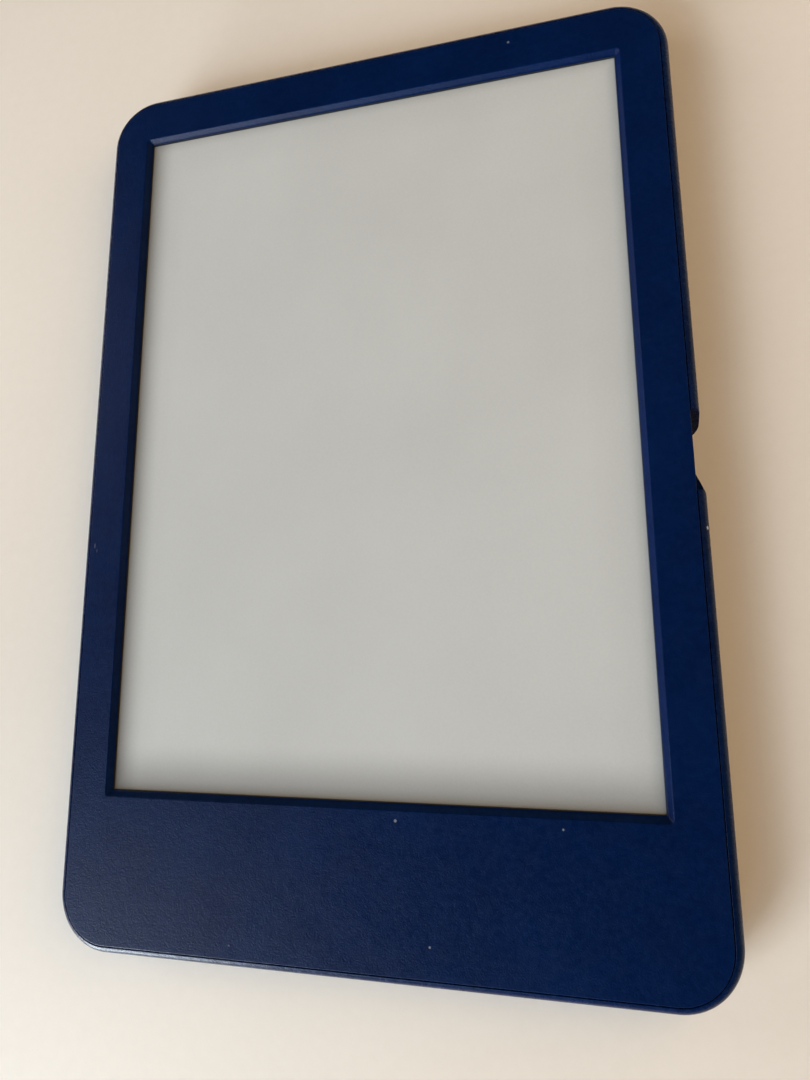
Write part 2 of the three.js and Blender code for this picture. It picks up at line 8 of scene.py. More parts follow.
import bmesh
import bpy
from mathutils import Euler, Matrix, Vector


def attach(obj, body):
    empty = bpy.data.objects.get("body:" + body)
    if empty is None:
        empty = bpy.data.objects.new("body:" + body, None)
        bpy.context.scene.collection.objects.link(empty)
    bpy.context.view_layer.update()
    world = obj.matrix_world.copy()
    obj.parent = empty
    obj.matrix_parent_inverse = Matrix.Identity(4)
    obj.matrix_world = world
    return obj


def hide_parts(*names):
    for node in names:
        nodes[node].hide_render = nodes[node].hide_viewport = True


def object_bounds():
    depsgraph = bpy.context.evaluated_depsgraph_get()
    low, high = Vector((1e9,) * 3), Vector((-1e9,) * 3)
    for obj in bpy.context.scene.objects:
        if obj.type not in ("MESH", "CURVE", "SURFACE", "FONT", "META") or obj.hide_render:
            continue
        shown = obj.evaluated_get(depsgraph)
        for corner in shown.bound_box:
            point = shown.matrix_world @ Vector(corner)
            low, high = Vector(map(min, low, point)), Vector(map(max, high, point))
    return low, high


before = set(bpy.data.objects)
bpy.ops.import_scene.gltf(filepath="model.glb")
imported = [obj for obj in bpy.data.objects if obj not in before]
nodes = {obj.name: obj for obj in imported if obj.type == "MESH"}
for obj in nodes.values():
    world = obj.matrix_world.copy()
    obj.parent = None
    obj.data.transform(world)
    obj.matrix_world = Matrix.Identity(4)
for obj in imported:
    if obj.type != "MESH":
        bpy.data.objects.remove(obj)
cad_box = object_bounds()

MM = 0.001

# ---- Dimensions in millimetres ----------------------------------------------------

HALF_WIDTH = cad_box[1].x / MM
HALF_LENGTH = cad_box[1].y / MM
DEPTH = cad_box[1].z / MM
CORNER_RADIUS = 9.3
CORNER_STEPS = 20

WALL = 1.3
UNDERSIDE_RUN = 4.6
UNDERSIDE_RISE = 4.0
RIM_CENTRE = 6.25
RIM_RADIUS = 1.7
SEAT_HEIGHT = 6.9

NOTCH_FLOOR_X = 52.7
# Y of the notch's upper end, lower floor end and lower mouth, at the back and at the front
NOTCH_BACK = (1.57, -3.2, -5.6)
NOTCH_FRONT = (5.57, -4.3, -8.0)
NOTCH_LEDGE_HEIGHT = 6.6
NOTCH_LEDGE_END = -7.4
BLOCK_INNER_X = 51.6
BLOCK_SPAN_Y = (-9.4, 7.6)
BLOCK_FOOT = 2.4

BEZEL_INSET = 1.42
BEZEL_UNDERSIDE = 6.95
SKIRT_OUTER = 1.6
SKIRT_INNER = 2.4
SKIRT_FOOT = 5.4
WINDOW_TOP = (92.5, 124.3)
WINDOW_FOOT = (90.6, 122.3)
WINDOW_CENTRE_Y = 7.7
WINDOW_RADIUS_TOP = 0.6
WINDOW_RADIUS_FOOT = 0.25

HOOK_HALF = 3.0
HOOK_ROWS_SIDES = (-52, -26, 30, 58)
HOOK_ROWS_ENDS = (-38, 34)

SOCKET_Z = 3.73
BUTTON_X = 19.0
BUTTON_Z = 3.7
LIGHT_X = 10.4
# Y of the outer face of the button's cap and of the light pipe
CAP_FACE_Y = -78.85

FRAME_SCREWS = ((-44, 74.3), (0, 74.3), (44, 74.3), (-49.3, -70), (-8, -69.6), (49.3, -70))
BOARD_SCREWS = ((-42, -49), (42, -49), (-42, -72.4), (42, -72.4))


# ---- Camera, floor and light ------------------------------------------------------


def make_camera():
    data = bpy.data.cameras.new("camera")
    data.sensor_width = 36.0
    data.lens = 25.09
    data.shift_x = -0.0270
    data.shift_y = -0.0614
    data.clip_start = 0.01
    camera = bpy.data.objects.new("camera", data)
    camera.location = (0.042803, -0.026028, 0.125151)
    camera.rotation_euler = Euler([math.radians(a) for a in (10.8272, 14.7288, -0.8796)])
    bpy.context.scene.collection.objects.link(camera)
    bpy.context.scene.camera = camera


def make_area_light(name, direction, distance, size, power, colour, mirrored=True):
    """A square light aimed at the origin; one that isn't mirrored stays out of the gloss."""
    data = bpy.data.lights.new(name, "AREA")
    data.shape = "SQUARE"
    data.size = size
    data.energy = power
    data.color = colour
    light = bpy.data.objects.new(name, data)
    light.location = Vector(direction).normalized() * distance
    light.rotation_euler = Vector(direction).to_track_quat("Z", "Y").to_euler()
    light.visible_glossy = mirrored
    bpy.context.scene.collection.objects.link(light)


def make_world():
    """A dim, slightly blue room."""
    world = bpy.data.worlds.new("room")
    world.use_nodes = True
    tree = world.node_tree
    tree.nodes.clear()
    where = tree.nodes.new("ShaderNodeTexCoord")
    split = tree.nodes.new("ShaderNodeSeparateXYZ")
    ramp = tree.nodes.new("ShaderNodeValToRGB")
    background = tree.nodes.new("ShaderNodeBackground")
    output = tree.nodes.new("ShaderNodeOutputWorld")
    tree.links.new(where.outputs["Generated"], split.inputs[0])
    tree.links.new(split.outputs["Z"], ramp.inputs[0])
    tree.links.new(ramp.outputs[0], background.inputs["Color"])
    tree.links.new(background.outputs[0], output.inputs["Surface"])
    ramp.color_ramp.elements[0].position = 0.25
    ramp.color_ramp.elements[0].color = (0.15, 0.18, 0.22, 1)
    ramp.color_ramp.elements[1].position = 0.66
    ramp.color_ramp.elements[1].color = (0.02, 0.02, 0.025, 1)
    bpy.context.scene.world = world


# ---- Mesh helpers -------------------------------------------------------------------


def arc_angles(steps, end=math.pi / 2, first=0):
    """Equal steps from 0 to an end angle, from the step with the number given by first."""
    return [end * step / steps for step in range(first, steps + 1)]


def weld(mesh, reach, sliver):
    """Joins points that fall together within a reach in millimetres, and takes out the
    faces that are narrower than a sliver in millimetres."""
    work = bmesh.new()
    work.from_mesh(mesh)
    bmesh.ops.remove_doubles(work, verts=work.verts, dist=reach * MM)
    bmesh.ops.dissolve_degenerate(work, dist=sliver * MM, edges=work.edges)
    work.to_mesh(mesh)
    work.free()


def mesh_object(name, points, faces):
    """A mesh from points in millimetres. Points that fall together are joined."""
    mesh = bpy.data.meshes.new(name)
    mesh.from_pydata([tuple(MM * c for c in p) for p in points], [], faces)
    weld(mesh, reach=0.001, sliver=0.0001)
    made = bpy.data.objects.new(name, mesh)
    bpy.context.scene.collection.objects.link(made)
    return made


def loft(name, rings, closed=False):
    """A closed body through rings of equally many points, capped at both ends
    unless the last ring joins the first."""
    count = len(rings[0])
    points = [p for ring in rings for p in ring]
    faces = []
    spans = len(rings) if closed else len(rings) - 1
    for i in range(spans):
        low = i * count
        high = (i + 1) % len(rings) * count
        for j in range(count):
            k = (j + 1) % count
            faces.append((low + j, low + k, high + k, high + j))
    if not closed:
        faces.append(tuple(reversed(range(count))))
        last = len(points) - count
        faces.append(tuple(range(last, last + count)))
    return mesh_object(name, points, faces)


def rounded_rectangle(half_x, half_y, radius, centre_y=0.0, steps=CORNER_STEPS, fills=6):
    """Corners and a few points along the sides, counter-clockwise from the right side."""
    reach_x = half_x - radius
    reach_y = half_y - radius
    centres = ((reach_x, reach_y), (-reach_x, reach_y), (-reach_x, -reach_y), (reach_x, -reach_y))
    points = []
    for quarter, (x, y) in enumerate(centres):
        for step in range(steps + 1):
            angle = (quarter + step / steps) * math.pi / 2
            points.append((x + radius * math.cos(angle), centre_y + y + radius * math.sin(angle)))
    full = []
    per_corner = steps + 1
    for quarter in range(4):
        arc = points[quarter * per_corner:(quarter + 1) * per_corner]
        following = points[(quarter + 1) % 4 * per_corner]
        full += arc
        for fill in range(1, fills):
            t = fill / fills
            full.append(tuple(a + (b - a) * t for a, b in zip(arc[-1], following)))
    return full


def body_loop(inset, z, **options):
    radius = CORNER_RADIUS - inset
    loop = rounded_rectangle(HALF_WIDTH - inset, HALF_LENGTH - inset, radius, **options)
    return [(x, y, z) for x, y in loop]


def box(name, low, high):
    """Box between its lowest and its highest corner."""
    corners = [(low[0], low[1]), (high[0], low[1]), (high[0], high[1]), (low[0], high[1])]
    return loft(name, [[(x, y, z) for x, y in corners] for z in (low[2], high[2])])


def post(x, y, radius, bottom, top):
    """Upright round post."""
    sides = 32
    turns = [2 * math.pi * i / sides for i in range(sides)]
    ring = [(x + radius * math.cos(a), y + radius * math.sin(a)) for a in turns]
    return loft("post", [[(px, py, z) for px, py in ring] for z in (bottom, top)])


def pill_ring(width, thickness, x, z, y):
    """Outline with round ends in the XZ plane, counter-clockwise to someone who faces the
    bottom edge."""
    steps = 12
    radius = thickness / 2
    reach = width / 2 - radius
    ring = []
    for side, start in ((1, -math.pi / 2), (-1, math.pi / 2)):
        for turn in arc_angles(steps, math.pi):
            angle = start + turn
            ring.append((x + side * reach + radius * math.cos(angle), y, z + radius * math.sin(angle)))
    return ring


def pill_body(name, width, thickness, x, z, stations):
    """Body along Y from (y, inset) stations, the far end first."""
    rings = [pill_ring(width - 2 * i, thickness - 2 * i, x, z, y) for y, i in stations]
    return loft(name, rings)


def combine(target, tools, operation):
    """Joins the tools to the target or cuts them from it, then removes them."""
    for tool in tools:
        modifier = target.modifiers.new("combine", "BOOLEAN")
        modifier.operation = operation
        modifier.solver = "MANIFOLD"
        modifier.object = tool
        bpy.context.view_layer.update()
        graph = bpy.context.evaluated_depsgraph_get()
        result = bpy.data.meshes.new_from_object(target.evaluated_get(graph))
        target.modifiers.clear()
        target.data = result
        bpy.data.objects.remove(tool)
    return target


def finish_piece(piece, body, material, replaced):
    """Smooth shading with sharp edges kept, a material, and the piece's place in the frame."""
    sharp_angle = math.radians(38)
    mesh = piece.data
    weld(mesh, reach=0.002, sliver=0.002)
    mesh.shade_smooth()
    mesh.set_sharp_from_angle(angle=sharp_angle)
    weighted = piece.modifiers.new("weighted normals", "WEIGHTED_NORMAL")
    weighted.keep_sharp = True
    weighted.weight = 80
    mesh.materials.clear()
    mesh.materials.append(material)
    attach(piece, body)
    if replaced:
        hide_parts(*replaced)


# ---- Rear cover -----------------------------------------------------------------------


def cover_profile():
    """(inset, z) from the flat back round the outside to the floor inside."""
    profile = []
    for angle in arc_angles(18):
        inset = UNDERSIDE_RUN * (1 - math.sin(angle))
        profile.append((inset, UNDERSIDE_RISE * (1 - math.cos(angle))))
    # the upright side
    profile += [(0.0, 4.75), (0.0, 5.5)]
    for angle in arc_angles(14, math.radians(70)):
        inset = RIM_RADIUS * (1 - math.cos(angle))
        profile.append((inset, RIM_CENTRE + RIM_RADIUS * math.sin(angle)))
    # the rim's inner edge, the wall inside and the slope down to the floor
    profile += [
        (1.20, 7.868),
        (1.255, 7.862),
        (1.29, 7.83),
        (WALL, 7.77),
        (WALL, SEAT_HEIGHT),
        (WALL, UNDERSIDE_RISE),
        (2.55, 2.2),
        (4.9, 1.2),
    ]
    return profile


def flared_hole(width, thickness, x, z, flare):
    """Cutter through the bottom wall whose mouth opens with a rounded edge."""
    beyond = 1.0
    face = -HALF_LENGTH
    outside = face - beyond
    inside = face + WALL + beyond
    stations = [(inside, 0.0), (face + flare, 0.0)]
    for angle in arc_angles(5, first=1):
        stations.append((face + flare * (1 - math.sin(angle)), -flare * (1 - math.cos(angle))))
    stations.append((outside, -flare))
    return pill_body("hole", width, thickness, x, z, stations)


def hook_boxes(outer, inner, half, bottom, top):
    """Boxes for the snap hooks or their pockets, between two insets of the outline."""
    boxes = []
    for side in (-1, 1):
        for y in HOOK_ROWS_SIDES:
            span = sorted((side * (HALF_WIDTH - outer), side * (HALF_WIDTH - inner)))
            boxes.append(box("hook", (span[0], y - half, bottom), (span[1], y + half, top)))
        for x in HOOK_ROWS_ENDS:
            span = sorted((side * (HALF_LENGTH - outer), side * (HALF_LENGTH - inner)))
            boxes.append(box("hook", (x - half, span[0], bottom), (x + half, span[1], top)))
    return boxes


def floor_furniture():
    """Screw bosses and low ribs, rooted inside the cover's floor."""
    root = 0.8
    rib_top = 2.4
    rib_half = 0.4
    made = [post(x, y, radius=1.6, bottom=root, top=4.6) for x, y in FRAME_SCREWS]
    made += [post(x, y, radius=1.7, bottom=root, top=3.3) for x, y in BOARD_SCREWS]
    made += [box("rib", (-46, y, root), (46, y + 2 * rib_half, rib_top)) for y in (42, 54, 66)]
    for columns, start, end in (((-30, 0, 30), 41.6, 67.2), ((-24, 24), -34, 34)):
        made += [box("rib", (x - rib_half, start, root), (x + rib_half, end, rib_top)) for x in columns]
    return made


def notch_cutters():
    """The scoop through the right wall, and the step that lowers the rim beside its lower end."""
    out = 1.0
    far = HALF_WIDTH + out
    rings = []
    for z in (-out, DEPTH + out):
        t = z / DEPTH
        upper, floor, mouth = (a + (b - a) * t for a, b in zip(NOTCH_BACK, NOTCH_FRONT))
        slope = (mouth - floor) / (HALF_WIDTH - NOTCH_FLOOR_X)
        corners = ((NOTCH_FLOOR_X, floor), (far, mouth + slope * out), (far, upper), (NOTCH_FLOOR_X, upper))
        rings.append([(x, y, z) for x, y in corners])
    step = box(
        "step",
        (NOTCH_FLOOR_X, NOTCH_LEDGE_END, NOTCH_LEDGE_HEIGHT),
        (far, 0.0, DEPTH + out),
    )
    return [loft("scoop", rings), step]


def round_notch_edges(cover):
    """Rounds the convex edges that the notch leaves on the cover."""
    near_x = NOTCH_FLOOR_X - 0.02
    near_y = (-8.6, 6.0)
    above_back = 0.3
    least_angle = math.radians(28)
    edge_round = 0.16
    work = bmesh.new()
    work.from_mesh(cover.data)
    bmesh.ops.remove_doubles(work, verts=work.verts, dist=0.01 * MM)
    picked = []
    for edge in work.edges:
        middle = (edge.verts[0].co + edge.verts[1].co) / 2 / MM
        inside = middle.x > near_x and near_y[0] < middle.y < near_y[1] and above_back < middle.z
        if not inside or len(edge.link_faces) != 2:
            continue
        if edge.calc_face_angle_signed(0.0) > least_angle:
            picked.append(edge)
    bmesh.ops.bevel(
        work, geom=picked, offset=edge_round * MM, offset_type="OFFSET", segments=3, profile=0.5,
        affect="EDGES", clamp_overlap=True,
    )
    work.to_mesh(cover.data)
    work.free()


def make_cover(material):
    """The navy shell, with its notch, bosses, ribs, hook pockets and three holes."""
    cover = loft("shell", [body_loop(inset, z, fills=14) for inset, z in cover_profile()])
    block = box(
        "block",
        (BLOCK_INNER_X, BLOCK_SPAN_Y[0], BLOCK_FOOT),
        (HALF_WIDTH - 0.6, BLOCK_SPAN_Y[1], SEAT_HEIGHT),
    )
    combine(cover, [block], "UNION")
    combine(cover, notch_cutters(), "DIFFERENCE")
    round_notch_edges(cover)
    combine(cover, floor_furniture(), "UNION")
    cuts = hook_boxes(outer=0.75, inner=WALL + 1.0, half=HOOK_HALF + 0.3, bottom=5.3, top=6.3)
    # room behind the socket, and behind the light and the button
    recess_y = -HALF_LENGTH + WALL
    recess_z = (1.9, 4.5)
    for left, right in ((-5.5, 5.5), (8.4, 25.2)):
        cuts.append(box("recess", (left, recess_y, recess_z[0]), (right, recess_y + 3, recess_z[1])))
    cuts += [post(x, y, radius=0.65, bottom=1.7, top=DEPTH) for x, y in FRAME_SCREWS + BOARD_SCREWS]
    cuts.append(flared_hole(width=9.44, thickness=3.76, x=0.0, z=SOCKET_Z, flare=0.22))
    cuts.append(flared_hole(width=9.3, thickness=2.3, x=BUTTON_X, z=BUTTON_Z, flare=0.16))
    # a hair wider than it is tall, so the two arcs of its outline stay apart
    cuts.append(flared_hole(width=1.3002, thickness=1.3, x=LIGHT_X, z=BUTTON_Z, flare=0.12))
    combine(cover, cuts, "DIFFERENCE")
    finish_piece(cover, "body", material, ["rear_cover"])


# ---- Front bezel ------------------------------------------------------------------------


def window_loop(depth_below, inwards):
    """Loop of the window's wall. The wall leans in with depth; inwards moves it further in."""
    lean = min(max(depth_below / (DEPTH - BEZEL_UNDERSIDE), 0.0), 1.0)
    half_x = (WINDOW_TOP[0] + (WINDOW_FOOT[0] - WINDOW_TOP[0]) * lean) / 2 - inwards
    half_y = (WINDOW_TOP[1] + (WINDOW_FOOT[1] - WINDOW_TOP[1]) * lean) / 2 - inwards
    radius = WINDOW_RADIUS_TOP + (WINDOW_RADIUS_FOOT - WINDOW_RADIUS_TOP) * lean - inwards
    loop = rounded_rectangle(half_x, half_y, radius, centre_y=WINDOW_CENTRE_Y)
    return [(x, y, DEPTH - depth_below) for x, y in loop]


def make_bezel(material):
    """The front plate: its outer edge, the window's wall with a lip over the page, and the
    skirt and hooks behind it."""
    edge = 0.15
    land = 1.2
    rings = [body_loop(BEZEL_INSET, BEZEL_UNDERSIDE)]
    for angle in arc_angles(5):
        inset = BEZEL_INSET + edge * (1 - math.cos(angle))
        rings.append(body_loop(inset, DEPTH - edge + edge * math.sin(angle)))
    rings.append(body_loop(BEZEL_INSET + land, DEPTH))
    rings += [
        window_loop(0.0, -land),
        window_loop(0.0, -0.13),
        window_loop(0.008, -0.075),
        window_loop(0.03, -0.03),
        window_loop(0.065, -0.007),
        window_loop(0.11, 0.0),
        window_loop(0.5, 0.0),
        window_loop(0.74, 0.0),
        window_loop(0.76, 0.07),
        window_loop(0.79, 0.10),
        window_loop(0.83, 0.10),
        window_loop(0.85, 0.06),
        window_loop(0.86, -0.35),
        window_loop(DEPTH - BEZEL_UNDERSIDE, -0.45),
        body_loop(SKIRT_INNER, BEZEL_UNDERSIDE),
        body_loop(SKIRT_INNER, SKIRT_FOOT),
        body_loop(SKIRT_OUTER, SKIRT_FOOT),
        body_loop(SKIRT_OUTER, BEZEL_UNDERSIDE),
    ]
    bezel = loft("bezel", rings, closed=True)
    clearance = 0.5
    gap = box(
        "gap",
        (BLOCK_INNER_X - clearance, BLOCK_SPAN_Y[0] - clearance, SKIRT_FOOT - 1),
        (HALF_WIDTH, BLOCK_SPAN_Y[1] + clearance, BEZEL_UNDERSIDE),
    )
    combine(bezel, [gap], "DIFFERENCE")
    hooks = hook_boxes(outer=1.0, inner=SKIRT_INNER - 0.2, half=HOOK_HALF, bottom=5.5, top=6.1)
    combine(bezel, hooks, "UNION")
    finish_piece(bezel, "body", material, ["front_bezel"])


# ---- Bottom edge ----------------------------------------------------------------------------


def make_button(material):
    """The cap in its slot, with a plate behind the wall and a nose for the switch."""
    flange = -HALF_LENGTH + WALL + 0.1
    edge = 0.25
    plate_half = 5.2
    nose_half = 1.2
    stations = [(flange + 0.2, 0.0), (CAP_FACE_Y + edge, 0.0)]
    for angle in arc_angles(5, first=1):
        stations.append((CAP_FACE_Y + edge * (1 - math.sin(angle)), edge * (1 - math.cos(angle))))
    cap = pill_body("button_cap", 9.0, 2.0, BUTTON_X, BUTTON_Z, stations)
    plate = box(
        "plate",
        (BUTTON_X - plate_half, flange, 2.5),
        (BUTTON_X + plate_half, flange + 0.6, 4.9),
    )
    nose = box(
        "nose",
        (BUTTON_X - nose_half, flange + 0.4, 3.2),
        (BUTTON_X + nose_half, flange + 1.4, 4.2),
    )
    combine(cap, [plate, nose], "UNION")
    finish_piece(cap, "power_button", material, ["power_button"])


def make_socket(steel, tongue_plastic, gold):
    """The receptacle's steel shell, its tongue and the contacts on the tongue's two faces."""
    mouth = -78.6
    end = -71.2
    wall = 0.3
    lip = 0.15
    end_edge = 0.12
    root = end - 0.6
    stations = [(end, end_edge), (end - end_edge, 0.0), (mouth + lip, 0.0)]
    for angle in arc_angles(6, math.pi, first=1):
        stations.append((mouth + lip - lip * math.sin(angle), wall / 2 * (1 - math.cos(angle))))
    stations += [(root, wall)]
    shell = pill_body("usb_c_receptacle", 8.94, 3.26, 0.0, SOCKET_Z, stations)
    finish_piece(shell, "body", steel, ["usb_c_shell"])

    tip = mouth + 0.9
    tongue_half = (3.3, 0.35)
    rings = []
    for y, inset in ((root, 0.0), (tip + 0.3, 0.0), (tip + 0.1, 0.06), (tip, 0.16)):
        loop = rounded_rectangle(
            tongue_half[0] - inset, tongue_half[1] - inset, 0.12, steps=4, fills=2
        )
        rings.append([(x, y, SOCKET_Z + z) for x, z in loop])
    tongue = loft("usb_c_tongue_tip", rings)
    finish_piece(tongue, "body", tongue_plastic, ["usb_c_tongue"])

    strips = []
    pitch = 0.5
    strip_half = 0.13
    strip_outside = 0.37
    for side in (-1, 1):
        for i in range(12):
            x = (i - 5.5) * pitch
            z = sorted((SOCKET_Z + side * tongue_half[1], SOCKET_Z + side * strip_outside))
            start = tip + (0.45 if i % 3 else 0.3)
            strips.append(box("strip", (x - strip_half, start, z[0]), (x + strip_half, root, z[1])))
    contacts = joined("usb_c_contacts", strips)
    finish_piece(contacts, "body", gold, [])


def joined(name, parts):
    """One object from several separate closed bodies."""
    work = bmesh.new()
    for part in parts:
        work.from_mesh(part.data)
        bpy.data.objects.remove(part)
    mesh = bpy.data.meshes.new(name)
    work.to_mesh(mesh)
    work.free()
    made = bpy.data.objects.new(name, mesh)
    bpy.context.scene.collection.objects.link(made)
    return made


def make_light_pipe(material):
    """The clear rod behind the charging light's hole, with its block inside the wall."""
    inside = -HALF_LENGTH + WALL
    block_half = 1.2
    stations = [(inside + 0.3, 0.0)]
    stations += [(CAP_FACE_Y + y, inset) for y, inset in ((0.2, 0.0), (0.1, 0.04), (0.03, 0.14), (0, 0.3))]
    # a hair wider than it is tall, like its hole
    rod = pill_body("light_pipe_rod", 1.1002, 1.1, LIGHT_X, BUTTON_Z, stations)
    block = box(
        "block",
        (LIGHT_X - block_half, inside + 0.1, 2.6),
        (LIGHT_X + block_half, -75.3, 4.4),
    )
    combine(rod, [block], "UNION")
    finish_piece(rod, "body", material, ["light_pipe"])


# ---- Materials --------------------------------------------------------------------------------

# dark and light tones of each material's mottling
COVER_NAVY = ((0.0001, 0.0050, 0.032), (0.0008, 0.0100, 0.054))
BEZEL_NAVY = ((0.0001, 0.0055, 0.036), (0.0004, 0.0098, 0.055))
PAGE_GREY = ((0.455, 0.474, 0.478), (0.488, 0.512, 0.515))
TABLE_CREAM = ((0.69, 0.645, 0.585), (0.73, 0.685, 0.625))
# near-black that the page's painted shade, painted shadows and painted shadow line darken towards
PAINTED_SHADE_BLACK = (0.02, 0.02, 0.018)

# marks are (place, radius, narrow, strength), with place and radius in millimetres
PALE_MARK = (0.42, 0.47, 0.56)
ROUND = (1, 1, 1)
SCRATCH = (7, 1, 1)
SPECKS = (
    ((5.4, -55.9, DEPTH), 0.28, ROUND, 0.35),
    ((30.8, -55.9, DEPTH), 0.20, ROUND, 0.30),
    ((10.6, -73.0, DEPTH), 0.22, ROUND, 0.35),
    ((-51.8, -11.7, DEPTH), 0.55, SCRATCH, 0.30),
    ((-51.3, -12.6, DEPTH), 0.40, SCRATCH, 0.22),
)
# a pale spot on the rim beside the notch
RIM_PALE_MARK = (((54.0, -13.1, 7.2), 0.35, (1.5, 1, 1), 0.8),)


class Shader:
    """A node material with the piece's own coordinates as its only texture space."""

    def __init__(self, name):
        self.material = bpy.data.materials.new(name)
        self.material.use_nodes = True
        self.tree = self.material.node_tree
        self.tree.nodes.clear()
        self.output = self.add("ShaderNodeOutputMaterial")
        self.principled = self.add("ShaderNodeBsdfPrincipled")
        self.link(self.principled.outputs[0], self.output.inputs["Surface"])
        self.place = self.add("ShaderNodeTexCoord").outputs["Object"]

    def add(self, kind, **settings):
        node = self.tree.nodes.new(kind)
        for key, value in settings.items():
            setattr(node, key, value)
        return node

    def link(self, source, target):
        self.tree.links.new(source, target)

    def feed(self, target, value):
        if isinstance(value, bpy.types.NodeSocket):
            self.link(value, target)
        else:
            target.default_value = value

    def set(self, **values):
        for name, value in values.items():
            self.feed(self.principled.inputs[name.replace("_", " ")], value)

    def noise(self, scale, detail=2.0, roughness=0.5, stretch=None):
        node = self.add("ShaderNodeTexNoise")
        node.inputs["Scale"].default_value = scale
        node.inputs["Detail"].default_value = detail
        node.inputs["Roughness"].default_value = roughness
        self.link(self.stretched(stretch) if stretch else self.place, node.inputs["Vector"])
        return node.outputs["Fac"]

    def stretched(self, factors):
        node = self.add("ShaderNodeMapping")
        node.inputs["Scale"].default_value = factors
        self.link(self.place, node.inputs["Vector"])
        return node.outputs[0]

    def axis(self, letter):
        node = self.add("ShaderNodeSeparateXYZ")
        self.link(self.place, node.inputs[0])
        return node.outputs[letter]

    def math(self, operation, a, b=0.0, c=0.0):
        node = self.add("ShaderNodeMath", operation=operation)
        for socket, value in zip(node.inputs, (a, b, c)):
            self.feed(socket, value)
        return node.outputs[0]

    def range(self, value, low, high, to_low, to_high, smooth=False):
        node = self.add("ShaderNodeMapRange")
        node.interpolation_type = "SMOOTHSTEP" if smooth else "LINEAR"
        for name, item in (("From Min", low), ("From Max", high), ("To Min", to_low), ("To Max", to_high)):
            node.inputs[name].default_value = item
        self.feed(node.inputs["Value"], value)
        return node.outputs["Result"]

    def mix(self, amount, a, b):
        # the colour sockets share their names with the number and vector ones
        first, second, result = 6, 7, 2
        node = self.add("ShaderNodeMix", data_type="RGBA")
        self.feed(node.inputs["Factor"], amount)
        for socket, value in ((node.inputs[first], a), (node.inputs[second], b)):
            if isinstance(value, tuple):
                value = (*value, 1.0)
            self.feed(socket, value)
        return node.outputs[result]

    def bump(self, height, distance, strength):
        node = self.add("ShaderNodeBump")
        node.inputs["Distance"].default_value = distance
        node.inputs["Strength"].default_value = strength
        self.feed(node.inputs["Height"], height)
        return node.outputs[0]

    def spot(self, place, radius, narrow):
        """1 inside a small mark at a place in millimetres, fading at its edge. The mark is
        round where narrow is (1, 1, 1), and thinner along an axis with a larger factor."""
        node = self.add("ShaderNodeVectorMath", operation="DISTANCE")
        self.link(self.stretched(narrow), node.inputs[0])
        node.inputs[1].default_value = tuple(c * n * MM for c, n in zip(place, narrow))
        return self.range(node.outputs["Value"], radius * 0.6 * MM, radius * MM, 1.0, 0.0, smooth=True)


def navy_plastic(name, dark, light, roughness, gloss, marks=(), dusty=False):
    """Spark-eroded moulded plastic: fine grain, cloudy colour, uneven gloss, and
    pale marks at given places, among them scratches. Dusty plastic has small specks all over."""
    shader = Shader(name)
    clouds = shader.noise(70, detail=4, roughness=0.6)
    mottle = shader.noise(1100, detail=3, roughness=0.6)
    tone = shader.math("MULTIPLY_ADD", mottle, 0.45, shader.math("MULTIPLY", clouds, 0.55))
    colour = shader.mix(shader.range(tone, 0.34, 0.66, 0.0, 1.0), dark, light)
    patches = shader.math("MULTIPLY", shader.noise(260, detail=4), 0.4)
    uneven = shader.math("MULTIPLY_ADD", mottle, 0.6, patches)
    rough = shader.range(uneven, 0.35, 0.65, roughness - 0.05, roughness + 0.06)
    grain = shader.noise(3600, detail=2, roughness=0.6)
    coarse = shader.noise(1100, detail=2, roughness=0.5)
    relief = shader.math("MULTIPLY_ADD", coarse, 0.5, grain)
    if dusty:
        dust = shader.add("ShaderNodeTexVoronoi", feature="F1")
        dust.inputs["Scale"].default_value = 95
        shader.link(shader.place, dust.inputs["Vector"])
        specks = shader.range(dust.outputs["Distance"], 0.018, 0.03, 0.25, 0.0, smooth=True)
        colour = shader.mix(specks, colour, PALE_MARK)
    for place, radius, narrow, strength in marks:
        mark = shader.math("MULTIPLY", shader.spot(place, radius, narrow), strength)
        colour = shader.mix(mark, colour, PALE_MARK)
    shader.set(Base_Color=colour, Roughness=rough)
    shader.set(Normal=shader.bump(relief, 0.00007, 0.6))
    shader.principled.inputs["Specular IOR Level"].default_value = gloss
    return shader.material


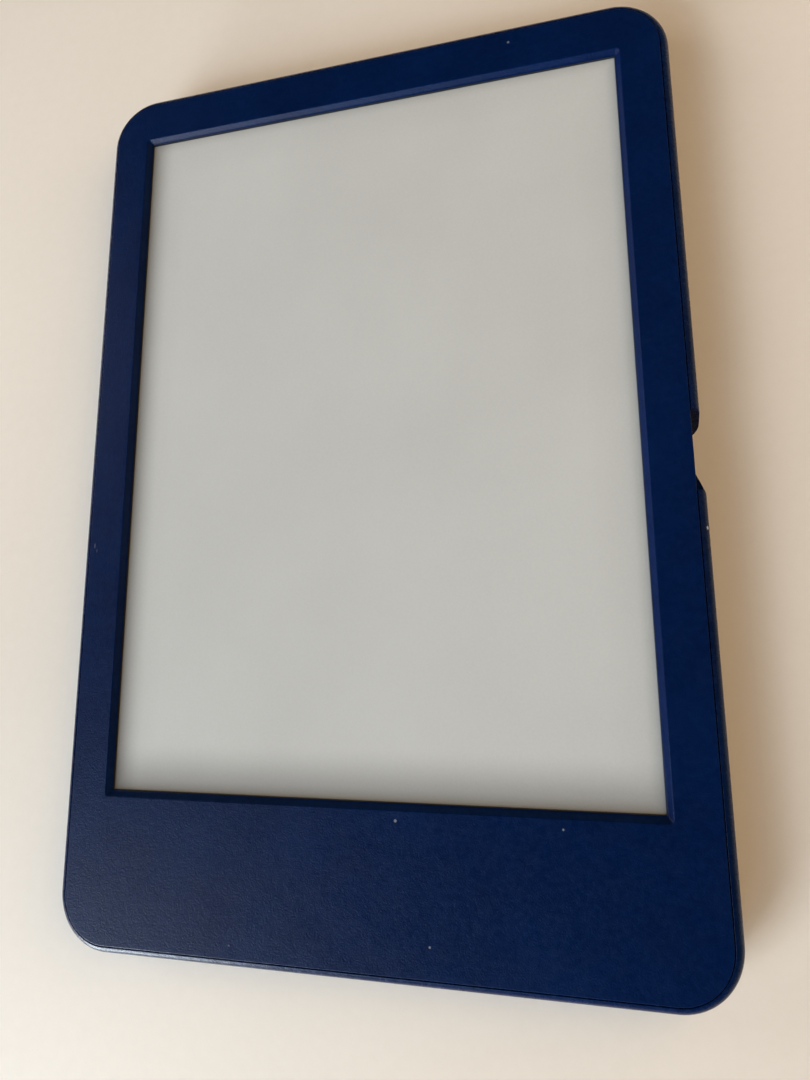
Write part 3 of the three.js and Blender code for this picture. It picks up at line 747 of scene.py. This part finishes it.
def paper_film(name):
    """Etched film over an electronic-paper page: grey, matte, a little uneven. Painted shade
    darkens it towards its edges, with painted shadows of the window's walls at the left and
    the foot, and a painted black shadow line under the window's lip."""
    shader = Shader(name)
    clouds = shader.noise(45, detail=3, roughness=0.55)
    fibres = shader.noise(2600, detail=3, roughness=0.7)
    tone = shader.math("MULTIPLY_ADD", fibres, 0.5, shader.math("MULTIPLY", clouds, 0.5))
    colour = shader.mix(shader.range(tone, 0.35, 0.65, 0.0, 1.0), *PAGE_GREY)
    across = shader.math("ABSOLUTE", shader.axis("X"))
    along = shader.math("ABSOLUTE", shader.math("SUBTRACT", shader.axis("Y"), WINDOW_CENTRE_Y * MM))
    edge = shader.math(
        "MINIMUM",
        shader.math("SUBTRACT", WINDOW_FOOT[0] / 2 * MM, across),
        shader.math("SUBTRACT", WINDOW_FOOT[1] / 2 * MM, along),
    )
    # painted shadow line: near black under the window's lip and beyond, where the gap beneath the lip lies
    # in shade
    painted_shadow_line = shader.range(edge, -0.05 * MM, 0.06 * MM, 0.04, 1.0)
    # painted shadows of the window's left wall and foot wall on the page
    from_left = shader.math("ADD", shader.axis("X"), WINDOW_FOOT[0] / 2 * MM)
    from_foot = shader.math("ADD", shader.axis("Y"), (WINDOW_FOOT[1] / 2 - WINDOW_CENTRE_Y) * MM)
    left_painted_shadow = shader.range(from_left, 0.0, 5.0 * MM, 0.64, 1.0, smooth=True)
    foot_painted_shadow = shader.range(from_foot, 0.0, 8.0 * MM, 0.60, 1.0, smooth=True)
    painted_shadows = shader.math("MULTIPLY", shader.math("MULTIPLY", left_painted_shadow, foot_painted_shadow), painted_shadow_line)
    # painted shade near every wall of the window, narrow and broad
    painted_shade_near_walls = shader.math("MULTIPLY", painted_shadows, shader.range(edge, 0.0, 2.2 * MM, 0.84, 1.0, smooth=True))
    painted_broad_shade = shader.range(edge, 0.0, 8.0 * MM, 0.92, 1.0)
    shade = shader.math("MULTIPLY", painted_shade_near_walls, painted_broad_shade)
    shader.set(Base_Color=shader.mix(shade, PAINTED_SHADE_BLACK, colour))
    shader.set(Roughness=shader.range(clouds, 0.3, 0.7, 0.55, 0.65))
    shader.set(Normal=shader.bump(fibres, 0.00001, 0.3))
    shader.principled.inputs["Specular IOR Level"].default_value = 0.25
    return shader.material


def simple_plastic(name, colour, roughness, grain=1500.0, contrast=0.15):
    """Small moulded part with a slight grain and uneven tone."""
    shader = Shader(name)
    tone = shader.noise(grain, detail=3, roughness=0.6)
    darker = tuple(c * (1 - contrast) for c in colour)
    lighter = tuple(min(c * (1 + contrast), 1.0) for c in colour)
    shader.set(Base_Color=shader.mix(shader.range(tone, 0.3, 0.7, 0.0, 1.0), darker, lighter))
    shader.set(Roughness=shader.range(tone, 0.3, 0.7, roughness - 0.06, roughness + 0.06))
    shader.set(Normal=shader.bump(tone, 0.00001, 0.4))
    return shader.material


def brushed_metal(name, colour, roughness, direction=(1, 14, 14)):
    """Metal with fine drawn lines along one axis."""
    shader = Shader(name)
    lines = shader.noise(900, detail=4, roughness=0.7, stretch=direction)
    darker = tuple(c * 0.86 for c in colour)
    shader.set(Base_Color=shader.mix(lines, darker, colour))
    shader.set(Roughness=shader.range(lines, 0.3, 0.7, roughness - 0.07, roughness + 0.08))
    shader.set(Normal=shader.bump(lines, 0.000006, 0.4))
    shader.principled.inputs["Metallic"].default_value = 1.0
    return shader.material


def clear_plastic(name, colour, roughness, clearness):
    """Clear moulding with faint flow marks."""
    shader = Shader(name)
    flow = shader.noise(300, detail=2, stretch=(1, 4, 1))
    shader.set(Base_Color=shader.mix(flow, tuple(c * 0.95 for c in colour), colour))
    shader.set(Roughness=shader.range(flow, 0.3, 0.7, roughness, roughness + 0.08))
    shader.set(Normal=shader.bump(flow, 0.00001, 0.2))
    shader.principled.inputs["Transmission Weight"].default_value = clearness
    shader.principled.inputs["IOR"].default_value = 1.58
    return shader.material


def circuit_board(name):
    """Solder mask over copper tracks, with pads."""
    shader = Shader(name)
    tracks = shader.add("ShaderNodeTexBrick")
    tracks.inputs["Scale"].default_value = 260
    tracks.inputs["Mortar Size"].default_value = 0.06
    shader.link(shader.place, tracks.inputs["Vector"])
    pads = shader.add("ShaderNodeTexVoronoi", feature="F1")
    pads.inputs["Scale"].default_value = 420
    shader.link(shader.place, pads.inputs["Vector"])
    mask = shader.mix(tracks.outputs["Fac"], (0.010, 0.085, 0.035), (0.02, 0.15, 0.06))
    pad = shader.range(pads.outputs["Distance"], 0.10, 0.14, 1.0, 0.0, smooth=True)
    shader.set(Base_Color=shader.mix(pad, mask, (0.62, 0.58, 0.42)))
    shader.set(Roughness=shader.range(shader.noise(400), 0.3, 0.7, 0.3, 0.42))
    shader.set(Normal=shader.bump(tracks.outputs["Fac"], 0.00001, 0.5))
    return shader.material


navy_cover = navy_plastic("navy_cover", *COVER_NAVY, roughness=0.26, gloss=0.15, marks=RIM_PALE_MARK)
navy_bezel = navy_plastic(
    "navy_bezel", *BEZEL_NAVY, roughness=0.33, gloss=0.13, marks=SPECKS, dusty=True
)
navy_button = navy_plastic("navy_button", *COVER_NAVY, roughness=0.26, gloss=0.15)

SLOT_MATERIALS = {
    "screen_film": paper_film("page_film"),
    "black_foam": simple_plastic("foam", (0.012, 0.012, 0.014), 0.9, 2600, 0.4),
    "adhesive_tape": simple_plastic("tape", (0.74, 0.73, 0.68), 0.7, 500, 0.06),
    "clear_optic": clear_plastic("clear_sheet", (0.88, 0.92, 0.93), 0.06, 0.9),
    "light_pipe_clear": clear_plastic("frosted_pipe", (0.88, 0.90, 0.92), 0.35, 0.45),
    "panel_glass": clear_plastic("panel_glass", (0.42, 0.48, 0.47), 0.05, 0.5),
    "eink_layer": simple_plastic("eink_layer", (0.50, 0.50, 0.45), 0.7, 2600, 0.05),
    "frame_metal": brushed_metal("cast_frame", (0.55, 0.56, 0.57), 0.45, (3, 3, 3)),
    "circuit_board": circuit_board("circuit_board"),
    "flex_amber": simple_plastic("flex_amber", (0.40, 0.17, 0.03), 0.35, 700, 0.12),
    "flex_black": simple_plastic("flex_black", (0.012, 0.012, 0.014), 0.45, 700, 0.25),
    "chip_black": simple_plastic("chip_black", (0.018, 0.018, 0.020), 0.5, 1800, 0.25),
    "shield_steel": brushed_metal("shield_steel", (0.68, 0.69, 0.70), 0.32),
    "socket_steel": brushed_metal("socket_steel", (0.58, 0.58, 0.60), 0.28, (14, 1, 14)),
    "socket_tongue": simple_plastic("socket_tongue", (0.013, 0.013, 0.015), 0.42, 1800, 0.2),
    "connector_plastic": simple_plastic("connector_plastic", (0.70, 0.64, 0.50), 0.5, 900, 0.06),
    "screw_steel": brushed_metal("screw_steel", (0.50, 0.51, 0.53), 0.35, (4, 4, 1)),
    "battery_foil": brushed_metal("battery_foil", (0.62, 0.64, 0.66), 0.38, (2, 2, 2)),
    "wire_black": simple_plastic("wire_black", (0.011, 0.011, 0.011), 0.5, 800, 0.3),
    "wire_white": simple_plastic("wire_white", (0.74, 0.74, 0.73), 0.5, 800, 0.06),
    "wire_red": simple_plastic("wire_red", (0.40, 0.012, 0.012), 0.5, 800, 0.15),
    "led_lens": simple_plastic("led_lens", (0.86, 0.80, 0.52), 0.25, 900, 0.08),
    "switch_black": simple_plastic("switch_black", (0.016, 0.016, 0.018), 0.45, 1500, 0.2),
    "gold_contact": brushed_metal("gold_contact", (0.83, 0.57, 0.22), 0.25, (14, 1, 14)),
    "cover_plastic": navy_cover,
    "bezel_plastic": navy_bezel,
    "button_plastic": navy_button,
}


def paint_frame():
    """Gives each CAD node the node material of its slot in the record."""
    for node in nodes.values():
        slot_name = node.data.materials[0].name.split(".")[0]
        node.data.materials[0] = SLOT_MATERIALS[slot_name]


def make_floor():
    """A plain pale table top, a hair below the reader's flat back."""
    reach = 3.0
    gap = 0.02
    shader = Shader("table")
    clouds = shader.noise(9, detail=4, roughness=0.6)
    fine = shader.noise(420, detail=4, roughness=0.7)
    tone = shader.math("MULTIPLY_ADD", fine, 0.35, shader.math("MULTIPLY", clouds, 0.65))
    shader.set(Base_Color=shader.mix(shader.range(tone, 0.35, 0.65, 0, 1), *TABLE_CREAM))
    shader.set(Roughness=shader.range(clouds, 0.3, 0.7, 0.5, 0.6))
    shader.set(Normal=shader.bump(fine, 0.00003, 0.2))
    mesh = bpy.data.meshes.new("floor")
    corners = [(-reach, -reach, 0), (reach, -reach, 0), (reach, reach, 0), (-reach, reach, 0)]
    mesh.from_pydata(corners, [], [(0, 1, 2, 3)])
    mesh.materials.append(shader.material)
    floor = bpy.data.objects.new("floor", mesh)
    floor.location.z = -gap * MM
    bpy.context.scene.collection.objects.link(floor)


# ---- The scene ----------------------------------------------------------------------------------

make_camera()
make_world()
make_area_light("window", (-0.64, -0.60, 0.42), 2.2, 1.10, 46.0, (0.88, 0.95, 1.0))
make_area_light("low_window", (-0.60, -0.78, 0.07), 0.9, 0.30, 8.5, (0.85, 0.95, 1.0))
make_area_light("sky", (-0.28, -0.80, 0.53), 1.3, 0.5, 3.0, (0.50, 0.76, 1.0))
make_area_light("soft_left", (-0.66, -0.33, 0.72), 1.2, 0.5, 1.3, (0.72, 0.86, 1.0))
make_area_light("upper_left", (-0.84, 0.30, 0.45), 1.2, 0.5, 2.8, (1.0, 0.96, 0.90))
make_area_light("room_fill", (0.75, 0.30, 0.62), 1.2, 1.2, 14.0, (1.0, 0.70, 0.40), mirrored=False)
make_floor()

make_cover(navy_cover)
make_bezel(navy_bezel)
make_button(navy_button)
make_socket(SLOT_MATERIALS["socket_steel"], SLOT_MATERIALS["socket_tongue"], SLOT_MATERIALS["gold_contact"])
make_light_pipe(SLOT_MATERIALS["light_pipe_clear"])
paint_frame()

bpy.context.scene.view_settings.view_transform = "Standard"
bpy.context.scene.view_settings.look = "None"
